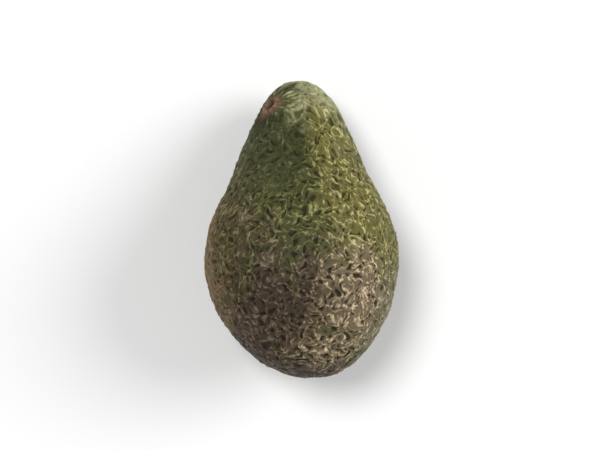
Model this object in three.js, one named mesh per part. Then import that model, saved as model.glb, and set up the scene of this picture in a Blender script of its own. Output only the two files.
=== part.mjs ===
// A whole Hass avocado, as picked, lying on its side on a small flat spot.
//
// Units are millimetres. +Z is up and the table is the plane z = 0. The stem end points along +Y and
// droops a little, as it does when the heavy blossom end carries the fruit. The origin is on the table,
// under the middle of the fruit's bounding box.
//
// The fruit grew as one piece, so it is one solid. Its surface is a sphere of directions: each direction
// is carried to a point of the pear-shaped body, and then the stem scar, the point at the blossom end and
// the flat spot are worked into it.

import * as THREE from "three";

// Driving dimensions of the body, in its own frame: Y along the fruit, stem end at +Y.
const LENGTH = 104.4;
const WIDTH = 64.1;
const HEIGHT = 63;
const DROOP = THREE.MathUtils.degToRad(15); // the long axis' slope, stem end down
const FLAT_DEPTH = 1.1; // how much of the curved underside the flat spot takes away

// The girth shrinks from the belly's to the neck's, as a share of the belly's, around the waist, which is
// a share of the half length towards the stem end.
const NECK_GIRTH = 0.65;
const WAIST = 0.105;
const TAPER = 3.4; // how quickly the girth changes at the waist

// The fruit grew a little crooked: its middle bows out to the side that the stem grew from, the belly by
// more than the neck, and from LEAN_START on the neck's tip leans to the same side.
const BOW = 2.6;
const BOW_SKEW = 0.5; // how much more the belly bows than the neck, as a share
const LEAN = 1.6;
const LEAN_START = 0.55;

// Broad, shallow waves around the body: how many, how strong as a share of the girth, where they start
// in radians, and how far they twist from the middle to an end.
const WAVES = [
  { count: 2, strength: 0.01, start: 0.6, twist: 1.4 },
  { count: 3, strength: 0.008, start: -1.1, twist: -2.1 },
  { count: 5, strength: 0.004, start: 2.2, twist: 2.8 },
];

// The stem scar sits on the neck's upper left shoulder: a shallow dimple, a corky ring and a pit.
const SCAR_DIRECTION = new THREE.Vector3(-0.46, 0.77, 0.45).normalize();
const SCAR_RELIEF = [
  { height: -1.1, radius: 0, width: 5.2 }, // dimple
  { height: 1.0, radius: 2.7, width: 1.0 }, // ring
  { height: -1.7, radius: 0, width: 1.3 }, // pit
];

// The blossom end keeps a small raised point where the flower's style was.
const BLOSSOM_DIRECTION = new THREE.Vector3(0, -1, 0);
const BLOSSOM_RELIEF = [
  { height: -0.5, radius: 0, width: 4.5 },
  { height: 0.9, radius: 0, width: 1.2 },
];

// The mesh: segments around the scar, rows from the scar to the far end, and how the rows crowd to it.
const SEGMENTS = 72;
const ROWS = 52;
const CROWDING = 1.35;

// The girth at a station from -1, the blossom end, to 1, the stem end, before it is scaled to WIDTH.
function rawGirth(along) {
  const towardsNeck = (1 + Math.tanh(TAPER * (along - WAIST))) / 2;
  return 1 - (1 - NECK_GIRTH) * towardsNeck;
}

// The widest that the body gets with rawGirth, as a share of half its width.
function widestGirth() {
  const stations = 400;
  let widest = 0;
  for (let i = 0; i <= stations; i++) {
    const along = (2 * i) / stations - 1;
    widest = Math.max(widest, rawGirth(along) * Math.sqrt(1 - along * along));
  }
  return widest;
}

const WIDEST = widestGirth();

// How far the broad waves push a direction out, as a factor near 1. They die out at the two ends.
function waves(direction) {
  const around = Math.atan2(direction.z, direction.x);
  const fade = 1 - direction.y * direction.y;
  return WAVES.reduce(
    (factor, w) =>
      factor + w.strength * fade * Math.cos(w.count * around + w.start + w.twist * direction.y),
    1,
  );
}

// How far the body's axis lies to the side of a straight line, at a station from -1 to 1.
function crook(along) {
  const lean = Math.max(0, (along - LEAN_START) / (1 - LEAN_START));
  return -BOW * (1 - along * along) * (1 - BOW_SKEW * along) - LEAN * lean * lean;
}

// The point of the smooth pear-shaped body that belongs to a direction.
function bodyPoint(direction) {
  const girth = (rawGirth(direction.y) / WIDEST) * waves(direction);
  return new THREE.Vector3(
    (WIDTH / 2) * girth * direction.x + crook(direction.y),
    (LENGTH / 2) * direction.y,
    (HEIGHT / 2) * girth * direction.z,
  );
}

// The body's outward normal at a direction, from two short steps across the surface.
function bodyNormal(direction) {
  const step = 0.01;
  const sideways = new THREE.Vector3(direction.z, 0, -direction.x);
  if (sideways.length() < step) sideways.set(1, 0, 0);
  sideways.normalize();
  const onwards = new THREE.Vector3().crossVectors(direction, sideways);
  const difference = (towards) => {
    const ahead = direction.clone().addScaledVector(towards, step).normalize();
    const behind = direction.clone().addScaledVector(towards, -step).normalize();
    return bodyPoint(ahead).sub(bodyPoint(behind));
  };
  return difference(sideways).cross(difference(onwards)).normalize();
}

// The height of a round relief at a distance from its centre: a sum of soft rings and spots.
function reliefHeight(relief, distance) {
  return relief.reduce(
    (height, r) => height + r.height * Math.exp(-(((distance - r.radius) / r.width) ** 2)),
    0,
  );
}

// Adds a round relief to a point of the body, along the normal at the relief's centre.
function addRelief(point, direction, relief) {
  const distance = point.distanceTo(bodyPoint(direction));
  return point.addScaledVector(bodyNormal(direction), reliefHeight(relief, distance));
}

// A unit sphere, as a lathe whose rows crowd towards the scar, where the mesh has to be finest.
function directionSphere() {
  const profile = [];
  for (let i = ROWS; i >= 0; i--) {
    const polar = Math.PI * (i / ROWS) ** CROWDING;
    profile.push(new THREE.Vector2(Math.sin(polar), Math.cos(polar)));
  }
  const pole = new THREE.Vector3(0, 1, 0);
  const turn = new THREE.Quaternion().setFromUnitVectors(pole, SCAR_DIRECTION);
  return new THREE.LatheGeometry(profile, SEGMENTS).applyQuaternion(turn);
}

// Calls change(point) on every vertex of a geometry.
function eachVertex(geometry, change) {
  const position = geometry.getAttribute("position");
  const point = new THREE.Vector3();
  for (let i = 0; i < position.count; i++) {
    change(point.fromBufferAttribute(position, i));
    position.setXYZ(i, point.x, point.y, point.z);
  }
}

// Sets the geometry down so that z = 0 takes FLAT_DEPTH off its underside, with the middle of its
// bounding box over the origin, and flattens what would be below the table.
function setDown(geometry) {
  geometry.computeBoundingBox();
  const middle = geometry.boundingBox.getCenter(new THREE.Vector3());
  geometry.translate(-middle.x, -middle.y, -geometry.boundingBox.min.z - FLAT_DEPTH);
  eachVertex(geometry, (point) => {
    point.z = Math.max(0, point.z);
  });
}

function fruitGeometry() {
  const geometry = directionSphere();
  eachVertex(geometry, (point) => {
    point.copy(bodyPoint(point.clone().normalize()));
    addRelief(point, SCAR_DIRECTION, SCAR_RELIEF);
    addRelief(point, BLOSSOM_DIRECTION, BLOSSOM_RELIEF);
  });
  geometry.rotateX(-DROOP);
  setDown(geometry);
  geometry.computeVertexNormals();
  return geometry;
}

const skin = new THREE.MeshStandardMaterial({ color: 0x5f6138, roughness: 0.55, metalness: 0 });

const fruit = new THREE.Mesh(fruitGeometry(), skin);
fruit.name = "fruit";

const avocado = new THREE.Group();
avocado.name = "avocado";
avocado.add(fruit);

export default avocado;
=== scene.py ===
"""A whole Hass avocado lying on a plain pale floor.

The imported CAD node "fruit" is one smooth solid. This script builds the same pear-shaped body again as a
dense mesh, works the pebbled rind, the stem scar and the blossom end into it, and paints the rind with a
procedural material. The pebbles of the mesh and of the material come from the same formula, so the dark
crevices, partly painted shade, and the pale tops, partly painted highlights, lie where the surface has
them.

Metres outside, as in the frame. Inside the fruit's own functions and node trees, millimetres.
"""

import math

import bmesh
import bpy
import numpy as np
from mathutils import Matrix, Vector


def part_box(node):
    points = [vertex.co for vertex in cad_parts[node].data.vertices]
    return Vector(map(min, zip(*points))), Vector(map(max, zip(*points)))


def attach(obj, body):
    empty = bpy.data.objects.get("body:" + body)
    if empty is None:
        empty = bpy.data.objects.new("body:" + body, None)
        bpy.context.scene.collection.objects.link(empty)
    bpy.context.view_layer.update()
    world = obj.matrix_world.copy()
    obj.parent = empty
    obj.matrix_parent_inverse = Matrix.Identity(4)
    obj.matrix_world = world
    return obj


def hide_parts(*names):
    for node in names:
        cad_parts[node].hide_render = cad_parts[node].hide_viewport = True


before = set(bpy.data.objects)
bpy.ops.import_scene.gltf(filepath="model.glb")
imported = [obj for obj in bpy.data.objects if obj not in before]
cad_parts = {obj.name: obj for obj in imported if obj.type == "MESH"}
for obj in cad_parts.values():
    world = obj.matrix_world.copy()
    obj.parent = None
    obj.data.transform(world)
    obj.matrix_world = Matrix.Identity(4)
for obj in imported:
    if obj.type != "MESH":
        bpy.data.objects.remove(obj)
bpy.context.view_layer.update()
fruit_low, fruit_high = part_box("fruit")

MM = 0.001

# The fruit's body, in its own frame as in the CAD part: Y along the fruit, stem end at +Y.
LENGTH = 104.4
WIDTH = 64.1
HEIGHT = 63
DROOP = math.radians(15)
FLAT_DEPTH = 1.1
NECK_GIRTH = 0.65
WAIST = 0.105
TAPER = 3.4
BOW = 2.6
BOW_SKEW = 0.5
LEAN = 1.6
LEAN_START = 0.55
WAVES = (  # count, strength, start, twist
    (2, 0.010, 0.6, 1.4),
    (3, 0.008, -1.1, -2.1),
    (5, 0.004, 2.2, 2.8),
)

SCAR_TOWARDS = np.array((-0.46, 0.77, 0.45))
SCAR_DIRECTION = SCAR_TOWARDS / np.linalg.norm(SCAR_TOWARDS)
BLOSSOM_DIRECTION = np.array((0.0, -1.0, 0.0))

# Shallow dents of the fruit's flanks: direction, width and depth in mm.
DENTS = (
    ((-0.99, 0.10, 0.08), 0.20, 1.3),
    ((0.72, 0.68, 0.10), 0.20, 1.1),
)

# The mesh: quads along an edge of the cube it starts from, and how they crowd to the scar.
CELLS = 127
CROWDING = 1.16

# The rind's relief: how high the long fold on the top stands, in mm, and which level of the pebbles'
# pattern lies on the smooth body.
FOLD_HEIGHT = 1.8
BASE_LEVEL = 0.6

# The rind's colours in its pits, on its slopes and on its ridges: the dark pits are partly painted shade in
# the crevices and the pale ridges partly painted highlights. GREEN lies all over. Each zone lies over what
# comes before it, around directions with a width and a strength.
GREEN = ((0.015, 0.016, 0.004, 1), (0.050, 0.052, 0.014, 1), (0.205, 0.205, 0.082, 1))
ZONES = {
    # Yellow-olive on the right flank and the top: partly the rind's own tone, partly painted light that
    # makes this side lighter.
    "yellow_and_lit": (
        (
            ((0.55, 0.50, 0.67), 0.45, 1.0),
            ((0.75, 0.0, 0.65), 0.50, 1.0),
            ((0.95, -0.1, 0.1), 0.35, 0.7),
        ),
        ((0.028, 0.025, 0.004, 1), (0.106, 0.096, 0.022, 1), (0.390, 0.350, 0.135, 1)),
    ),
    # Painted shade: the upper left of the top and a valley left of the fold, darker and duller.
    "shade": (
        (((-0.60, 0.40, 0.70), 0.36, 0.9), ((-0.18, 0.35, 0.92), 0.27, 1.0)),
        ((0.018, 0.020, 0.004, 1), (0.034, 0.038, 0.009, 1), (0.078, 0.084, 0.026, 1)),
    ),
    "bronze": (
        (((-0.80, -0.20, 0.55), 0.40, 0.9),),
        ((0.020, 0.017, 0.005, 1), (0.058, 0.047, 0.015, 1), (0.175, 0.145, 0.058, 1)),
    ),
    "ripe": (
        (
            ((-0.28, -0.72, 0.64), 0.38, 1.0),
            ((-0.55, -0.80, 0.2), 0.35, 1.0),
            ((0.08, -0.54, 0.82), 0.25, 0.85),
            ((0.0, -1.0, 0.0), 0.35, 1.0),
            ((0.3, -0.4, -0.85), 0.6, 1.0),
        ),
        ((0.014, 0.009, 0.005, 1), (0.043, 0.029, 0.018, 1), (0.160, 0.113, 0.075, 1)),
    ),
    "tan": (
        (
            ((0.52, -0.68, 0.52), 0.31, 1.0),
            ((0.15, -0.92, 0.36), 0.25, 0.85),
            ((0.28, -0.50, 0.82), 0.18, 0.60),
        ),
        ((0.022, 0.015, 0.007, 1), (0.126, 0.094, 0.054, 1), (0.575, 0.445, 0.290, 1)),
    ),
    # Painted sheen: a pale, low-contrast grey-tan patch on the lower right flank.
    "painted_sheen": (
        (((0.80, -0.68, 0.05), 0.32, 0.8),),
        ((0.045, 0.038, 0.018, 1), (0.138, 0.120, 0.064, 1), (0.390, 0.340, 0.205, 1)),
    ),
    # Russet on the left rim: partly the rind's own tone, partly painted light bounced onto the rim from the
    # floor.
    "russet_and_rim_light": (
        (((-0.95, -0.28, 0.15), 0.32, 0.9),),
        ((0.048, 0.028, 0.010, 1), (0.130, 0.082, 0.036, 1), (0.260, 0.180, 0.092, 1)),
    ),
    # Pale neck tip: partly the neck's own paler tone, partly painted light where the top of the neck faces
    # the light.
    "pale_and_lit_tip": (
        (
            ((0.30, 0.90, 0.35), 0.32, 1.0),
            ((0.0, 0.97, 0.2), 0.2, 1.0),
            ((0.56, 0.66, 0.50), 0.22, 0.55),
            ((-0.05, 0.76, 0.65), 0.2, 0.9),
        ),
        ((0.080, 0.082, 0.028, 1), (0.230, 0.228, 0.108, 1), (0.430, 0.425, 0.235, 1)),
    ),
}

# The colours of the stem scar, from its halo to its pit, and of the blossom end.
HALO_BROWN = (0.125, 0.078, 0.036, 1)
CORK_DARK = (0.090, 0.042, 0.020, 1)
CORK_PALE = (0.235, 0.150, 0.094, 1)
PIT_BROWN = (0.035, 0.012, 0.006, 1)
BLOSSOM_DARK = (0.040, 0.025, 0.013, 1)
BLOSSOM_PALE = (0.180, 0.115, 0.065, 1)

# The studio, in metres: the floor's width, how far the camera sees, and how much of the width at the
# fruit is in view. The lens and the sensor are in mm.
FLOOR_WIDTH = 400
FLOOR_WHITE = (0.80, 0.80, 0.80, 1)
CAMERA_REACH = 400
VIEW_WIDTH = 0.2
CAMERA_ELEVATION = math.radians(85)
CAMERA_ROLL = math.radians(2.25)
LENS = 120
SENSOR = 36


# ---------------------------------------------------------------- the body

def raw_girth(along):
    towards_neck = (1 + np.tanh(TAPER * (along - WAIST))) / 2
    return 1 - (1 - NECK_GIRTH) * towards_neck


STATIONS = np.linspace(-1, 1, 401)
WIDEST = float((raw_girth(STATIONS) * np.sqrt(1 - STATIONS**2)).max())


def waves(directions):
    around = np.arctan2(directions[:, 2], directions[:, 0])
    along = directions[:, 1]
    factor = np.ones(len(directions))
    for count, strength, start, twist in WAVES:
        factor += strength * (1 - along**2) * np.cos(count * around + start + twist * along)
    return factor


def crook(along):
    lean = np.clip((along - LEAN_START) / (1 - LEAN_START), 0, None)
    return -BOW * (1 - along**2) * (1 - BOW_SKEW * along) - LEAN * lean**2


def body_points(directions):
    """The points of the smooth pear-shaped body that belong to unit directions, in mm."""
    along = directions[:, 1]
    girth = raw_girth(along) / WIDEST * waves(directions)
    return np.stack(
        [
            WIDTH / 2 * girth * directions[:, 0] + crook(along),
            LENGTH / 2 * along,
            HEIGHT / 2 * girth * directions[:, 2],
        ],
        axis=1,
    )


def unit(vectors):
    return vectors / np.linalg.norm(vectors, axis=-1, keepdims=True)


def spot_frame(direction):
    """A place on the body: its point, its outward normal, and two tangents."""
    step = 0.01
    side = unit(np.cross(direction, (0.0, 0.0, 1.0)))
    up = np.cross(side, direction)
    ring = unit(np.stack([direction + step * t for t in (side, up, -side, -up)]))
    points = body_points(ring)
    across, along = unit(points[0] - points[2]), points[1] - points[3]
    normal = unit(np.cross(along, across))
    return body_points(direction[None])[0], normal, across, np.cross(normal, across)


def smooth(value, start, end):
    share = np.clip((value - start) / (end - start), 0, 1)
    return share * share * (3 - 2 * share)


def bump(distance, radius, width):
    return np.exp(-(((distance - radius) / width) ** 2))


def lobe(directions, centre, width):
    """1 towards the centre, fading to 0 around it."""
    return np.exp((directions @ unit(np.array(centre)) - 1) / width**2)


def zone_shares(directions):
    """How strong each zone is at each direction, from 0 to 1."""
    shares = {}
    for name, (lobes, _) in ZONES.items():
        shares[name] = np.zeros(len(directions))
        for centre, width, strength in lobes:
            shares[name] = np.maximum(shares[name], strength * lobe(directions, centre, width))
    return shares


# ---------------------------------------------------------------- the mesh

def direction_grid():
    """The unit vectors of a cube's grid blown up to a sphere, crowded to the scar, and its quads."""
    cube = bmesh.new()
    bmesh.ops.create_cube(cube, size=2)
    bmesh.ops.subdivide_edges(cube, edges=cube.edges[:], cuts=CELLS - 1, use_grid_fill=True)
    corners = np.array([v.co[:] for v in cube.verts])
    quads = np.array([[v.index for v in f.verts] for f in cube.faces])
    cube.free()
    directions = unit(np.tan(corners * math.pi / 4))
    towards = directions @ SCAR_DIRECTION
    polar = np.arccos(np.clip(towards, -1, 1))
    crowded = math.pi * (polar / math.pi) ** CROWDING
    sideways = directions - towards[:, None] * SCAR_DIRECTION
    sideways /= np.maximum(np.linalg.norm(sideways, axis=1, keepdims=True), 1e-9)
    return np.cos(crowded)[:, None] * SCAR_DIRECTION + np.sin(crowded)[:, None] * sideways, quads


def stretched(along_mm):
    """The place along the fruit that the pebbles are laid out by. They are long and thin at the neck."""
    belly, neck, middle, spread = 1.0, 0.45, 18.0, 12.0
    softplus = spread * np.logaddexp(0, (along_mm - middle) / spread)
    return belly * along_mm + (neck - belly) * softplus


def scar_relief(distance):
    """How far the stem scar lifts the surface, in mm."""
    dimple = -1.2 * bump(distance, 0, 5.6)
    ring = 1.15 * bump(distance, 2.75, 0.85)
    pit = -1.9 * (1 - smooth(distance, 0.5, 2.2))
    return dimple + ring + pit


def blossom_relief(distance):
    """How far the dimple and the point of the blossom end lift the surface, in mm."""
    return -0.6 * bump(distance, 0, 4.5) + 0.9 * bump(distance, 0, 1.0)


def fruit_mesh():
    """The body with its dents, scar and blossom end, its quads, and what the node trees need to know."""
    directions, quads = direction_grid()
    points = body_points(directions)
    scar, scar_normal, scar_across, scar_along = spot_frame(SCAR_DIRECTION)
    blossom, blossom_normal, _, _ = spot_frame(BLOSSOM_DIRECTION)

    from_scar = points - scar
    scar_distance = np.linalg.norm(from_scar, axis=1)
    angle = np.arctan2(from_scar @ scar_along, from_scar @ scar_across)
    blossom_distance = np.linalg.norm(points - blossom, axis=1)

    ring_radius, outward_share = 8.0, 0.3
    ring_x, ring_y = ring_radius * np.cos(angle), ring_radius * np.sin(angle)
    attributes = {
        "skin": np.stack([points[:, 0], stretched(points[:, 1]), points[:, 2]], axis=1),
        "furrow": np.stack([ring_x, ring_y, outward_share * scar_distance], axis=1),
        "scar_distance": scar_distance,
        "blossom_distance": blossom_distance,
        "direction": directions,
    }
    attributes.update(zone_shares(directions))

    for centre, width, depth in DENTS:
        points = points - (depth * lobe(directions, centre, width))[:, None] * directions
    points = points + scar_relief(scar_distance)[:, None] * scar_normal
    points = points + blossom_relief(blossom_distance)[:, None] * blossom_normal
    return set_down(points), quads, attributes


def set_down(points):
    """Turns the body by its droop, brings it to metres and to the CAD node's place, and sinks it in.

    Its lowest point comes to lie FLAT_DEPTH below the floor.
    """
    turned = points @ np.array(Matrix.Rotation(-DROOP, 3, "X")).T
    low, high = turned.min(0), turned.max(0)
    scale = (fruit_high.y - fruit_low.y) / (high[1] - low[1])
    middle = (np.array(fruit_low) + np.array(fruit_high)) / 2
    placed = (turned - (low + high) / 2) * scale + middle
    placed[:, 2] += fruit_low.z - FLAT_DEPTH * MM - placed[:, 2].min()
    return placed


def new_mesh(name, points, quads, attributes):
    mesh = bpy.data.meshes.new(name)
    mesh.from_pydata(points, [], quads.tolist())
    for key, values in attributes.items():
        kind = "FLOAT_VECTOR" if values.ndim == 2 else "FLOAT"
        field = "vector" if values.ndim == 2 else "value"
        layer = mesh.attributes.new(key, kind, "POINT")
        layer.data.foreach_set(field, values.astype(np.float32).ravel())
    mesh.shade_smooth()
    return mesh


# ---------------------------------------------------------------- node helpers

class Nodes:
    """Adds nodes to either kind of tree, so that a pattern is written once for mesh and material."""

    def __init__(self, tree):
        self.tree = tree

    def add(self, kind, inputs=(), **settings):
        node = self.tree.nodes.new(kind)
        for key, value in settings.items():
            setattr(node, key, value)
        for key, value in dict(inputs).items():
            self.put(node.inputs[key], value)
        return node

    def put(self, socket, value):
        if isinstance(value, bpy.types.NodeSocket):
            self.tree.links.new(value, socket)
        else:
            socket.default_value = value

    def math(self, operation, a, b=0.0):
        return self.add("ShaderNodeMath", {0: a, 1: b}, operation=operation).outputs[0]

    def plus(self, a, b):
        return self.math("ADD", a, b)

    def minus(self, a, b):
        return self.math("SUBTRACT", a, b)

    def times(self, a, b):
        return self.math("MULTIPLY", a, b)

    def vector(self, operation, a, b):
        return self.add("ShaderNodeVectorMath", {0: a, 1: b}, operation=operation).outputs[0]

    def scaled(self, a, factor):
        node = self.add("ShaderNodeVectorMath", {0: a, "Scale": factor}, operation="SCALE")
        return node.outputs[0]

    def between(self, value, start, end, low=0.0, high=1.0):
        """A smooth step from low to high as value goes from start to end."""
        inputs = dict(enumerate((value, start, end, low, high)))
        node = self.add("ShaderNodeMapRange", inputs, interpolation_type="SMOOTHSTEP")
        return node.outputs[0]

    def mix(self, factor, a, b):
        """A blend of two numbers."""
        return self.add("ShaderNodeMix", {0: factor, 2: a, 3: b}, data_type="FLOAT").outputs[0]

    def colour(self, factor, a, b):
        """A blend of two colours."""
        return self.add("ShaderNodeMix", {0: factor, 6: a, 7: b}, data_type="RGBA").outputs[2]

    def noise(self, place, size, detail=2.0, output=0):
        """Noise with lumps of about a size in mm. Output 0 is a number, output 1 a colour."""
        inputs = {"Vector": place, "Scale": 1 / size, "Detail": detail}
        return self.add("ShaderNodeTexNoise", inputs).outputs[output]

    def ripple(self, place, size, detail, amount):
        """Noise that swings about 0, by up to half the amount each way."""
        return self.times(self.minus(self.noise(place, size, detail), 0.5), amount)

    def cell_edge(self, place, size):
        """How far a place is from the nearest edge between cells, as a share of their size."""
        inputs = {"Vector": place, "Scale": 1 / size}
        node = self.add("ShaderNodeTexVoronoi", inputs, feature="DISTANCE_TO_EDGE")
        return node.outputs["Distance"]


def attribute(nodes, name, kind):
    """A named point attribute in either kind of tree. kind is FLOAT or FLOAT_VECTOR."""
    if nodes.tree.bl_idname == "ShaderNodeTree":
        node = nodes.add("ShaderNodeAttribute", attribute_name=name)
        return node.outputs["Fac" if kind == "FLOAT" else "Vector"]
    node = nodes.add("GeometryNodeInputNamedAttribute", data_type=kind)
    node.inputs["Name"].default_value = name
    return next(s for s in node.outputs if s.enabled and s.name == "Attribute")


# ---------------------------------------------------------------- the pebbles

def wandering(nodes, place, size, reach):
    """A place moved about by noise, so that what is laid out by it gets crooked outlines."""
    swing = nodes.noise(place, size, detail=1.0, output=1)
    drift = nodes.vector("SUBTRACT", swing, (0.5, 0.5, 0.5))
    return nodes.vector("ADD", place, nodes.scaled(drift, reach))


def rind_pattern(nodes):
    """How high the rind stands, from 0 in the deepest crevices to 1 on the tops of the pebbles."""
    skin = attribute(nodes, "skin", "FLOAT_VECTOR")
    furrow = attribute(nodes, "furrow", "FLOAT_VECTOR")
    scar_distance = attribute(nodes, "scar_distance", "FLOAT")

    flow = wandering(nodes, skin, size=6.0, reach=7.5)
    place = wandering(nodes, flow, size=1.9, reach=1.4)
    walls = nodes.between(nodes.cell_edge(place, size=2.7), 0.38, 0.08)
    pit_depth = nodes.between(nodes.noise(flow, size=3.4), 0.32, 0.58, 0.35, 1.0)
    net = nodes.minus(1.0, nodes.times(nodes.minus(1.0, walls), pit_depth))
    off_line = nodes.math("ABSOLUTE", nodes.minus(nodes.noise(flow, size=2.3, detail=1.0), 0.5))
    worms = nodes.between(off_line, 0.09, 0.01)
    large = nodes.between(nodes.cell_edge(flow, size=4.2), 0.0, 0.25)
    uneven = nodes.between(nodes.noise(flow, size=1.6), 0.3, 0.7)
    pebbles = nodes.plus(
        nodes.plus(nodes.times(net, 0.44), nodes.times(worms, 0.25)),
        nodes.plus(nodes.times(large, 0.13), nodes.times(uneven, 0.18)),
    )

    furrows = wandering(nodes, furrow, size=2.6, reach=1.6)
    ridges = nodes.between(nodes.cell_edge(furrows, size=1.8), 0.0, 0.4, 0.3, 1.0)
    ridges = nodes.times(ridges, nodes.between(uneven, 0.0, 1.0, 0.65, 1.0))
    near_scar = nodes.between(scar_distance, 16.0, 6.5)
    return nodes.math("MAXIMUM", nodes.mix(near_scar, pebbles, ridges), 0.0)


def relief_height(nodes):
    """How far the rind stands out from the smooth body, in mm."""
    skin = attribute(nodes, "skin", "FLOAT_VECTOR")
    scar_distance = attribute(nodes, "scar_distance", "FLOAT")
    direction = attribute(nodes, "direction", "FLOAT_VECTOR")
    parts = nodes.add("ShaderNodeSeparateXYZ", {"Vector": direction})
    x, y, z = (parts.outputs[axis] for axis in "XYZ")

    patches = nodes.between(nodes.noise(skin, size=11.0), 0.3, 0.7, 0.75, 1.1)
    neck = nodes.between(y, 0.55, 1.0, 1.0, 0.4)
    off_scar = nodes.between(scar_distance, 3.2, 5.5)
    depth = nodes.times(nodes.times(patches, neck), off_scar)
    pebbles = nodes.times(nodes.minus(rind_pattern(nodes), BASE_LEVEL), depth)

    swell = nodes.ripple(skin, size=12.0, detail=1.0, amount=1.0)
    lumps = nodes.ripple(skin, size=4.5, detail=1.0, amount=0.8)
    calm = nodes.between(scar_distance, 3.0, 9.0, 0.15, 1.0)
    unevenness = nodes.times(nodes.plus(swell, lumps), calm)

    across = nodes.times(nodes.between(x, -0.10, 0.10), nodes.between(x, 0.6, 0.14))
    lengthways = nodes.times(nodes.between(y, -0.75, 0.1), nodes.between(y, 0.95, 0.6))
    on_top = nodes.between(z, 0.1, 0.5, 0.0, FOLD_HEIGHT)
    fold = nodes.times(nodes.times(across, lengthways), on_top)
    return nodes.plus(pebbles, nodes.plus(fold, unevenness))


def relief_modifier():
    """A node tree that moves each vertex out along its normal by the relief."""
    tree = bpy.data.node_groups.new("rind_relief", "GeometryNodeTree")
    tree.interface.new_socket("Geometry", in_out="INPUT", socket_type="NodeSocketGeometry")
    tree.interface.new_socket("Geometry", in_out="OUTPUT", socket_type="NodeSocketGeometry")
    nodes = Nodes(tree)
    normal = nodes.add("GeometryNodeInputNormal").outputs["Normal"]
    offset = nodes.scaled(normal, nodes.times(relief_height(nodes), MM))
    start = nodes.add("NodeGroupInput")
    moved = nodes.add(
        "GeometryNodeSetPosition",
        {"Geometry": start.outputs["Geometry"], "Offset": offset},
    )
    nodes.add("NodeGroupOutput", {"Geometry": moved.outputs["Geometry"]})
    return tree


# ---------------------------------------------------------------- the rind's material

def rind_colour(nodes, pattern):
    """The zones' colours, from the pits over the slopes to the ridges. The dark pits are partly painted
    shade in the crevices and the pale ridges partly painted highlights on the pebbles' tops.
    """
    skin = attribute(nodes, "skin", "FLOAT_VECTOR")
    ragged = nodes.plus(
        nodes.ripple(skin, size=4.0, detail=3.0, amount=1.0),
        nodes.ripple(skin, size=11.0, detail=1.0, amount=0.7),
    )
    levels = GREEN
    for name, (_, zone_levels) in ZONES.items():
        share = nodes.between(nodes.plus(attribute(nodes, name, "FLOAT"), ragged), 0.1, 0.9)
        levels = [nodes.colour(share, a, b) for a, b in zip(levels, zone_levels)]

    pit, slope, ridge_and_glint = levels
    # Darker towards the crevices: partly the rind's own darker colour there, partly painted shade.
    colour = nodes.colour(nodes.between(pattern, 0.30, 0.58), pit, slope)
    # The pale ridge colour on scattered tops: partly the tops' own tan tone, partly painted highlights.
    scattered = nodes.between(nodes.noise(skin, size=1.8), 0.40, 0.62, 0.25, 1.0)
    return nodes.colour(nodes.times(nodes.between(pattern, 0.65, 0.86), scattered), colour, ridge_and_glint)


def scar_colour(nodes, colour):
    """The brown halo, the corky ring and the dark pit of the stem scar over the rind's colour."""
    distance = attribute(nodes, "scar_distance", "FLOAT")
    blotches = nodes.noise(attribute(nodes, "furrow", "FLOAT_VECTOR"), size=1.6)
    halo = nodes.between(nodes.plus(distance, nodes.times(blotches, 4.0)), 9.5, 5.0, 0.0, 0.8)
    colour = nodes.colour(halo, colour, HALO_BROWN)
    cork = nodes.colour(nodes.between(blotches, 0.38, 0.62), CORK_DARK, CORK_PALE)
    ring = nodes.times(nodes.between(distance, 4.0, 3.2), nodes.between(distance, 1.3, 2.1))
    colour = nodes.colour(ring, colour, cork)
    return nodes.colour(nodes.between(distance, 2.1, 1.3), colour, PIT_BROWN)


def blossom_colour(nodes, colour):
    """The dry brown remains of the flower at the blossom end."""
    distance = attribute(nodes, "blossom_distance", "FLOAT")
    skin = attribute(nodes, "skin", "FLOAT_VECTOR")
    ragged = nodes.plus(distance, nodes.ripple(skin, size=1.2, detail=3.0, amount=2.4))
    colour = nodes.colour(nodes.between(ragged, 4.5, 1.6, 0.0, 0.85), colour, BLOSSOM_DARK)
    return nodes.colour(nodes.between(ragged, 1.4, 0.5, 0.0, 0.8), colour, BLOSSOM_PALE)


def rind_material():
    """The fruit's colours with a dull waxy gloss, and a bump that sharpens the pebbles and adds a grain."""
    material = bpy.data.materials.new("rind")
    material.use_nodes = True
    material.node_tree.nodes.clear()
    nodes = Nodes(material.node_tree)

    pattern = rind_pattern(nodes)
    colour = blossom_colour(nodes, scar_colour(nodes, rind_colour(nodes, pattern)))
    grain = nodes.noise(attribute(nodes, "skin", "FLOAT_VECTOR"), size=0.35, detail=3.0)
    height = nodes.plus(nodes.times(pattern, 0.6), nodes.times(grain, 0.25))
    grain_bump = nodes.add(
        "ShaderNodeBump",
        {"Height": height, "Distance": 0.25 * MM, "Strength": 0.8},
    )
    inputs = {
        "Base Color": colour,
        "Roughness": nodes.between(pattern, 0.0, 1.0, 0.72, 0.46),
        "Normal": grain_bump.outputs["Normal"],
        "Specular IOR Level": 0.14,
    }
    shader = nodes.add("ShaderNodeBsdfPrincipled", inputs)
    nodes.add("ShaderNodeOutputMaterial", {"Surface": shader.outputs["BSDF"]})
    return material


# ---------------------------------------------------------------- the fruit

def keep_above_floor(mesh):
    """Puts the vertices that lie below the floor on it, which makes the flat spot."""
    co = np.empty(len(mesh.vertices) * 3, np.float32)
    mesh.vertices.foreach_get("co", co)
    co = co.reshape(-1, 3)
    co[:, 2] = np.maximum(co[:, 2], fruit_low.z)
    mesh.vertices.foreach_set("co", co.ravel())
    mesh.update()


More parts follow.
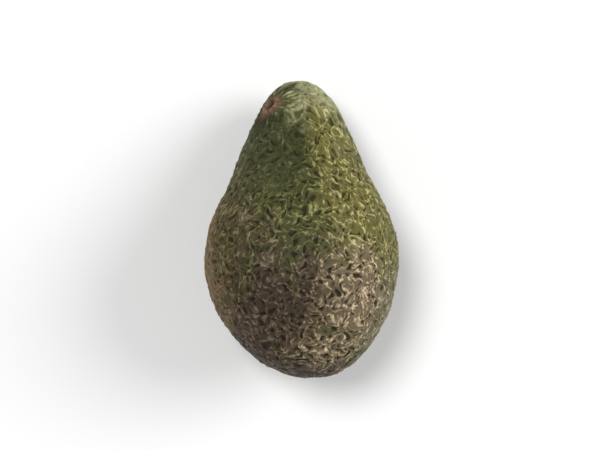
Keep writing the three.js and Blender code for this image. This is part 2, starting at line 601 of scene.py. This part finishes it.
def make_fruit():
    smooth_mesh = new_mesh("smooth_fruit", *fruit_mesh())
    fruit = bpy.data.objects.new("avocado_fruit", smooth_mesh)
    bpy.context.scene.collection.objects.link(fruit)
    modifier = fruit.modifiers.new("relief", "NODES")
    modifier.node_group = relief_modifier()
    depsgraph = bpy.context.evaluated_depsgraph_get()
    mesh = bpy.data.meshes.new_from_object(fruit.evaluated_get(depsgraph))
    fruit.modifiers.clear()
    fruit.data = mesh
    mesh.name = "avocado_fruit"
    bpy.data.meshes.remove(smooth_mesh)

    keep_above_floor(mesh)
    mesh.materials.clear()
    mesh.materials.append(rind_material())
    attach(fruit, "root")
    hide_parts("fruit")


# ---------------------------------------------------------------- the studio

def make_floor():
    bpy.ops.mesh.primitive_plane_add(size=FLOOR_WIDTH)
    floor = bpy.context.object
    floor.name = "floor"
    material = bpy.data.materials.new("floor_white")
    material.use_nodes = True
    shader = material.node_tree.nodes["Principled BSDF"]
    shader.inputs["Base Color"].default_value = FLOOR_WHITE
    shader.inputs["Roughness"].default_value = 0.7
    shader.inputs["Specular IOR Level"].default_value = 0.2
    floor.data.materials.append(material)


def soft_light(name, towards, width, strength):
    """A distant soft light that shines from a direction. width is the angle it fills, in degrees."""
    light = bpy.data.lights.new(name, "SUN")
    light.angle = math.radians(width)
    light.energy = strength
    lamp = bpy.data.objects.new(name, light)
    lamp.rotation_euler = Vector(towards).to_track_quat("Z", "Y").to_euler()
    bpy.context.scene.collection.objects.link(lamp)


def make_world():
    """A white surround, at full strength below and at the horizon and dimmer upwards."""
    world = bpy.data.worlds.new("studio")
    world.use_nodes = True
    world.node_tree.nodes.clear()
    nodes = Nodes(world.node_tree)
    towards = nodes.add("ShaderNodeTexCoord").outputs["Generated"]
    height = nodes.add("ShaderNodeSeparateXYZ", {"Vector": towards}).outputs["Z"]
    strength = nodes.between(height, start=0.08, end=0.60, low=1.0, high=0.25)
    background = nodes.add("ShaderNodeBackground", {"Color": (1, 1, 1, 1), "Strength": strength})
    nodes.add("ShaderNodeOutputWorld", {"Surface": background.outputs["Background"]})
    bpy.context.scene.world = world


def make_light():
    soft_light("side_light", (1.2, 0.25, 0.9), width=32, strength=2.0)
    soft_light("top_light", (-0.4, 0.3, 1.5), width=22, strength=1.9)
    make_world()


def make_camera():
    """Looks down on the fruit, almost straight, with the neck at the top and leaning a little left."""
    camera = bpy.data.objects.new("camera", bpy.data.cameras.new("camera"))
    camera.data.lens = LENS
    camera.data.sensor_width = SENSOR
    camera.data.clip_end = CAMERA_REACH
    middle = (fruit_low + fruit_high) / 2
    back = Vector((0, -math.cos(CAMERA_ELEVATION), math.sin(CAMERA_ELEVATION)))
    camera.location = middle + back * VIEW_WIDTH * LENS / SENSOR
    tilt = Matrix.Rotation(math.pi / 2 - CAMERA_ELEVATION, 3, "X")
    roll = Matrix.Rotation(-CAMERA_ROLL, 3, "Z")
    camera.rotation_euler = (tilt @ roll).to_euler()
    bpy.context.scene.collection.objects.link(camera)
    bpy.context.scene.camera = camera


def make_studio():
    make_floor()
    make_light()
    make_camera()
    bpy.context.scene.view_settings.view_transform = "Standard"


make_fruit()
make_studio()
